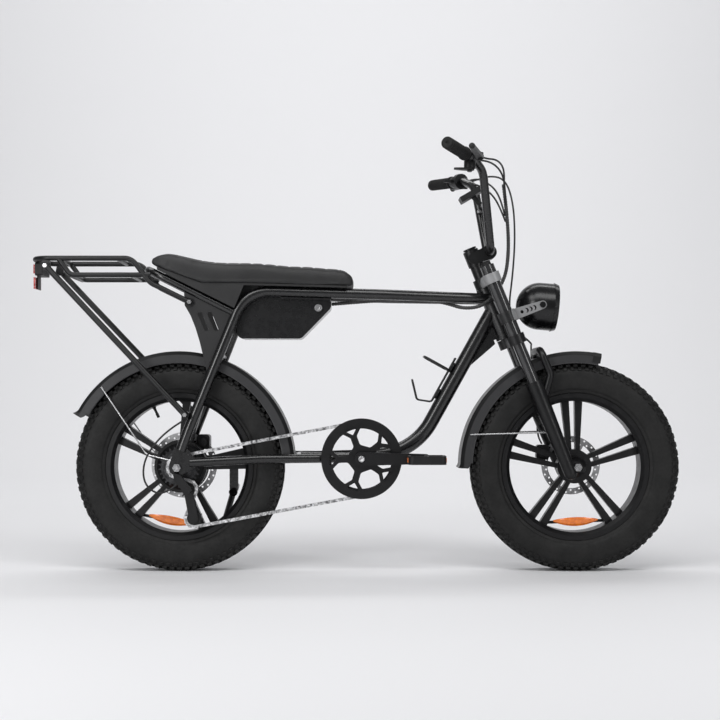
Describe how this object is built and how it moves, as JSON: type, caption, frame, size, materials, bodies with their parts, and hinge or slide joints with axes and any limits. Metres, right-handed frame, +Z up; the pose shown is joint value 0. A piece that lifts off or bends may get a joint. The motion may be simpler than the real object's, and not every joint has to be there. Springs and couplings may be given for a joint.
{
  "type": "fat tyre electric bike",
  "caption": "Fat tyre electric bike with a bench seat, cast wheels, dual crown fork, rear rack, fenders, round headlight and disc brakes; steering, wheels and drive turn.",
  "frame": {"origin": "on the ground under the middle of the bike's length and width", "axes": "+X forward, +Y to the rider's left, +Z up"},
  "size_m": [1.732, 0.7126, 1.1072],
  "materials": {
    "frame_paint": "gloss",
    "satin_black": "satin",
    "grey_plate": "satin",
    "tyre": "matte",
    "steel": "satin",
    "alloy": "satin",
    "rubber": "matte",
    "matte_plastic": "matte",
    "gloss_plastic": "gloss",
    "seat_cover": "satin",
    "lens": "gloss",
    "red_lens": "gloss"
  },
  "bodies": {
    "frame": {"head_tube": "frame_paint", "down_tube": "frame_paint", "frame_rail_right": "frame_paint", "frame_rail_left": "frame_paint", "seat_loop": "frame_paint", "chainstays": "frame_paint", "gusset_plates": "grey_plate", "battery_case": "satin_black", "seat_base": "matte_plastic", "seat_pad": "seat_cover", "rear_rack": "satin_black", "tail_light": "matte_plastic", "tail_lenses": "red_lens", "rear_fender": "gloss_plastic", "rear_fender_stays": "steel", "bottle_cage": "satin_black", "rear_caliper": "satin_black", "derailleur_body": "satin_black", "rear_axle": "steel", "frame_bolts": "steel", "chain": "steel"},
    "steering": {"lower_crown": "satin_black", "upper_crown": "satin_black", "stanchions": "alloy", "stem": "satin_black", "handlebar": "satin_black", "grips": "rubber", "lever_mounts": "satin_black", "display": "gloss_plastic", "headlight_arms": "alloy", "control_cables": "matte_plastic"},
    "fork_lower": {"fork_lowers": "satin_black", "front_axle": "steel", "front_caliper": "satin_black", "front_fender": "gloss_plastic", "front_fender_stay": "steel", "front_brake_cable": "matte_plastic"},
    "front_wheel": {"front_tyre": "tyre", "front_rim": "satin_black", "front_rotor": "steel"},
    "rear_wheel": {"rear_tyre": "tyre", "rear_rim": "satin_black", "hub_motor": "satin_black", "rear_rotor": "steel"},
    "freewheel": {"freewheel": "steel"},
    "crank": {"crank_arms": "satin_black", "chainring": "satin_black"},
    "pedal_right": {"pedal_right": "matte_plastic"},
    "pedal_left": {"pedal_left": "matte_plastic"},
    "derailleur_cage": {"derailleur_cage": "satin_black"},
    "guide_pulley": {"guide_pulley": "matte_plastic"},
    "tension_pulley": {"tension_pulley": "matte_plastic"},
    "brake_lever_right": {"brake_lever_right": "satin_black"},
    "brake_lever_left": {"brake_lever_left": "satin_black"},
    "shift_lever": {"shift_lever": "matte_plastic"},
    "throttle": {"throttle": "matte_plastic"},
    "preload_knob": {"preload_knob": "matte_plastic"},
    "headlight": {"headlight_shell": "gloss_plastic", "headlight_lens": "lens"},
    "kickstand": {"kickstand_leg": "satin_black"}
  },
  "joints": [
    {"name": "steering_turn", "type": "hinge", "parent": "frame", "child": "steering", "pos_m": [0.54845, 0, 0.26483], "axis": [-0.3746, 0, 0.9272], "range_deg": [-40, 40], "deforming": ["control_cables"]},
    {"name": "fork_travel", "type": "slide", "parent": "steering", "child": "fork_lower", "axis": [-0.3746, 0, 0.9272], "range_m": [0, 0.04], "stiffness_N_per_m": 8000, "springref_m": -0.02, "deforming": ["front_brake_cable"]},
    {"name": "front_wheel_spin", "type": "hinge", "parent": "fork_lower", "child": "front_wheel", "pos_m": [0.586, 0, 0.28], "axis": [0, 1, 0], "continuous": true},
    {"name": "rear_wheel_spin", "type": "hinge", "parent": "frame", "child": "rear_wheel", "pos_m": [-0.474, 0, 0.28], "axis": [0, 1, 0], "continuous": true},
    {"name": "crank_turn", "type": "hinge", "parent": "frame", "child": "crank", "pos_m": [0.01296, 0, 0.303], "axis": [0, 1, 0], "continuous": true, "deforming": ["chain"]},
    {"name": "freewheel_spin", "type": "hinge", "parent": "frame", "child": "freewheel", "pos_m": [-0.474, 0, 0.28], "axis": [0, 1, 0], "continuous": true},
    {"name": "pedal_right_spin", "type": "hinge", "parent": "crank", "child": "pedal_right", "pos_m": [0.18296, 0, 0.303], "axis": [0, 1, 0], "continuous": true},
    {"name": "pedal_left_spin", "type": "hinge", "parent": "crank", "child": "pedal_left", "pos_m": [-0.15704, 0, 0.303], "axis": [0, 1, 0], "continuous": true},
    {"name": "derailleur_cage_swing", "type": "hinge", "parent": "frame", "child": "derailleur_cage", "pos_m": [-0.447, 0, 0.222], "axis": [0, 1, 0], "range_deg": [-20, 25], "stiffness_Nm_per_rad": 0.6, "deforming": ["chain"]},
    {"name": "guide_pulley_spin", "type": "hinge", "parent": "derailleur_cage", "child": "guide_pulley", "pos_m": [-0.447, 0, 0.222], "axis": [0, 1, 0], "continuous": true},
    {"name": "tension_pulley_spin", "type": "hinge", "parent": "derailleur_cage", "child": "tension_pulley", "pos_m": [-0.43255, 0, 0.14433], "axis": [0, 1, 0], "continuous": true},
    {"name": "brake_lever_right_pull", "type": "hinge", "parent": "steering", "child": "brake_lever_right", "pos_m": [0.31322, -0.23841, 1.07397], "axis": [-0.0322, -0.0652, -0.9974], "range_deg": [0, 14], "stiffness_Nm_per_rad": 0.8},
    {"name": "brake_lever_left_pull", "type": "hinge", "parent": "steering", "child": "brake_lever_left", "pos_m": [0.31322, 0.23841, 1.07397], "axis": [0.0322, -0.0652, 0.9974], "range_deg": [0, 14], "stiffness_Nm_per_rad": 0.8},
    {"name": "shift_lever_push", "type": "hinge", "parent": "steering", "child": "shift_lever", "pos_m": [0.28907, -0.20602, 1.05058], "axis": [0.0322, 0.0652, 0.9974], "range_deg": [0, 30], "stiffness_Nm_per_rad": 0.3},
    {"name": "throttle_press", "type": "hinge", "parent": "steering", "child": "throttle", "pos_m": [0.28782, 0.20854, 1.08086], "axis": [0.4416, -0.8943, -0.0727], "range_deg": [0, 35], "stiffness_Nm_per_rad": 0.3},
    {"name": "preload_knob_turn", "type": "hinge", "parent": "steering", "child": "preload_knob", "pos_m": [0.34469, -0.076, 0.81453], "axis": [-0.3746, 0, 0.9272], "range_deg": [-360, 360]},
    {"name": "headlight_tilt", "type": "hinge", "parent": "steering", "child": "headlight", "pos_m": [0.494, 0, 0.712], "axis": [0, 1, 0], "range_deg": [-15, 15]},
    {"name": "kickstand_fold", "type": "hinge", "parent": "frame", "child": "kickstand", "pos_m": [-0.339, 0.098, 0.215], "axis": [0.0712, 0.9019, 0.426], "range_deg": [0, 74.5]}
  ],
  "couplings": [
    {"joint": "freewheel_spin", "follows": "crank_turn", "ratio": 3.4286},
    {"joint": "guide_pulley_spin", "follows": "crank_turn", "ratio": -4.3636},
    {"joint": "tension_pulley_spin", "follows": "crank_turn", "ratio": 4.3636}
  ]
}
